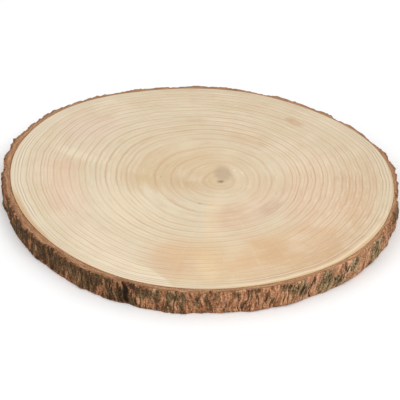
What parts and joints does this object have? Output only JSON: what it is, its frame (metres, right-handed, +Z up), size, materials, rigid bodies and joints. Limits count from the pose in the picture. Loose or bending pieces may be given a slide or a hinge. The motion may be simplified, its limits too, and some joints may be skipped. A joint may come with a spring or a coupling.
{
  "type": "wood slice",
  "caption": "Round live-edge slice of a tree trunk: two flat sawn faces showing growth rings round an off-centre pith, with the rough bark left on its rim.",
  "frame": {"origin": "middle of the slice's extent, on the sawn underside it rests on", "axes": "+Z up, along the trunk the slice was sawn from; +X to the right and +Y away, as seen from the side with the deep furrow in the bark"},
  "size_m": [0.3408, 0.3432, 0.02],
  "materials": {
    "sawn_wood_and_bark": "sawn and sanded cream wood with tan growth rings, matt; rough red-brown and olive-grey bark on the rim"
  },
  "bodies": {
    "root": {"wood_slice": "sawn_wood_and_bark"}
  },
  "joints": []
}
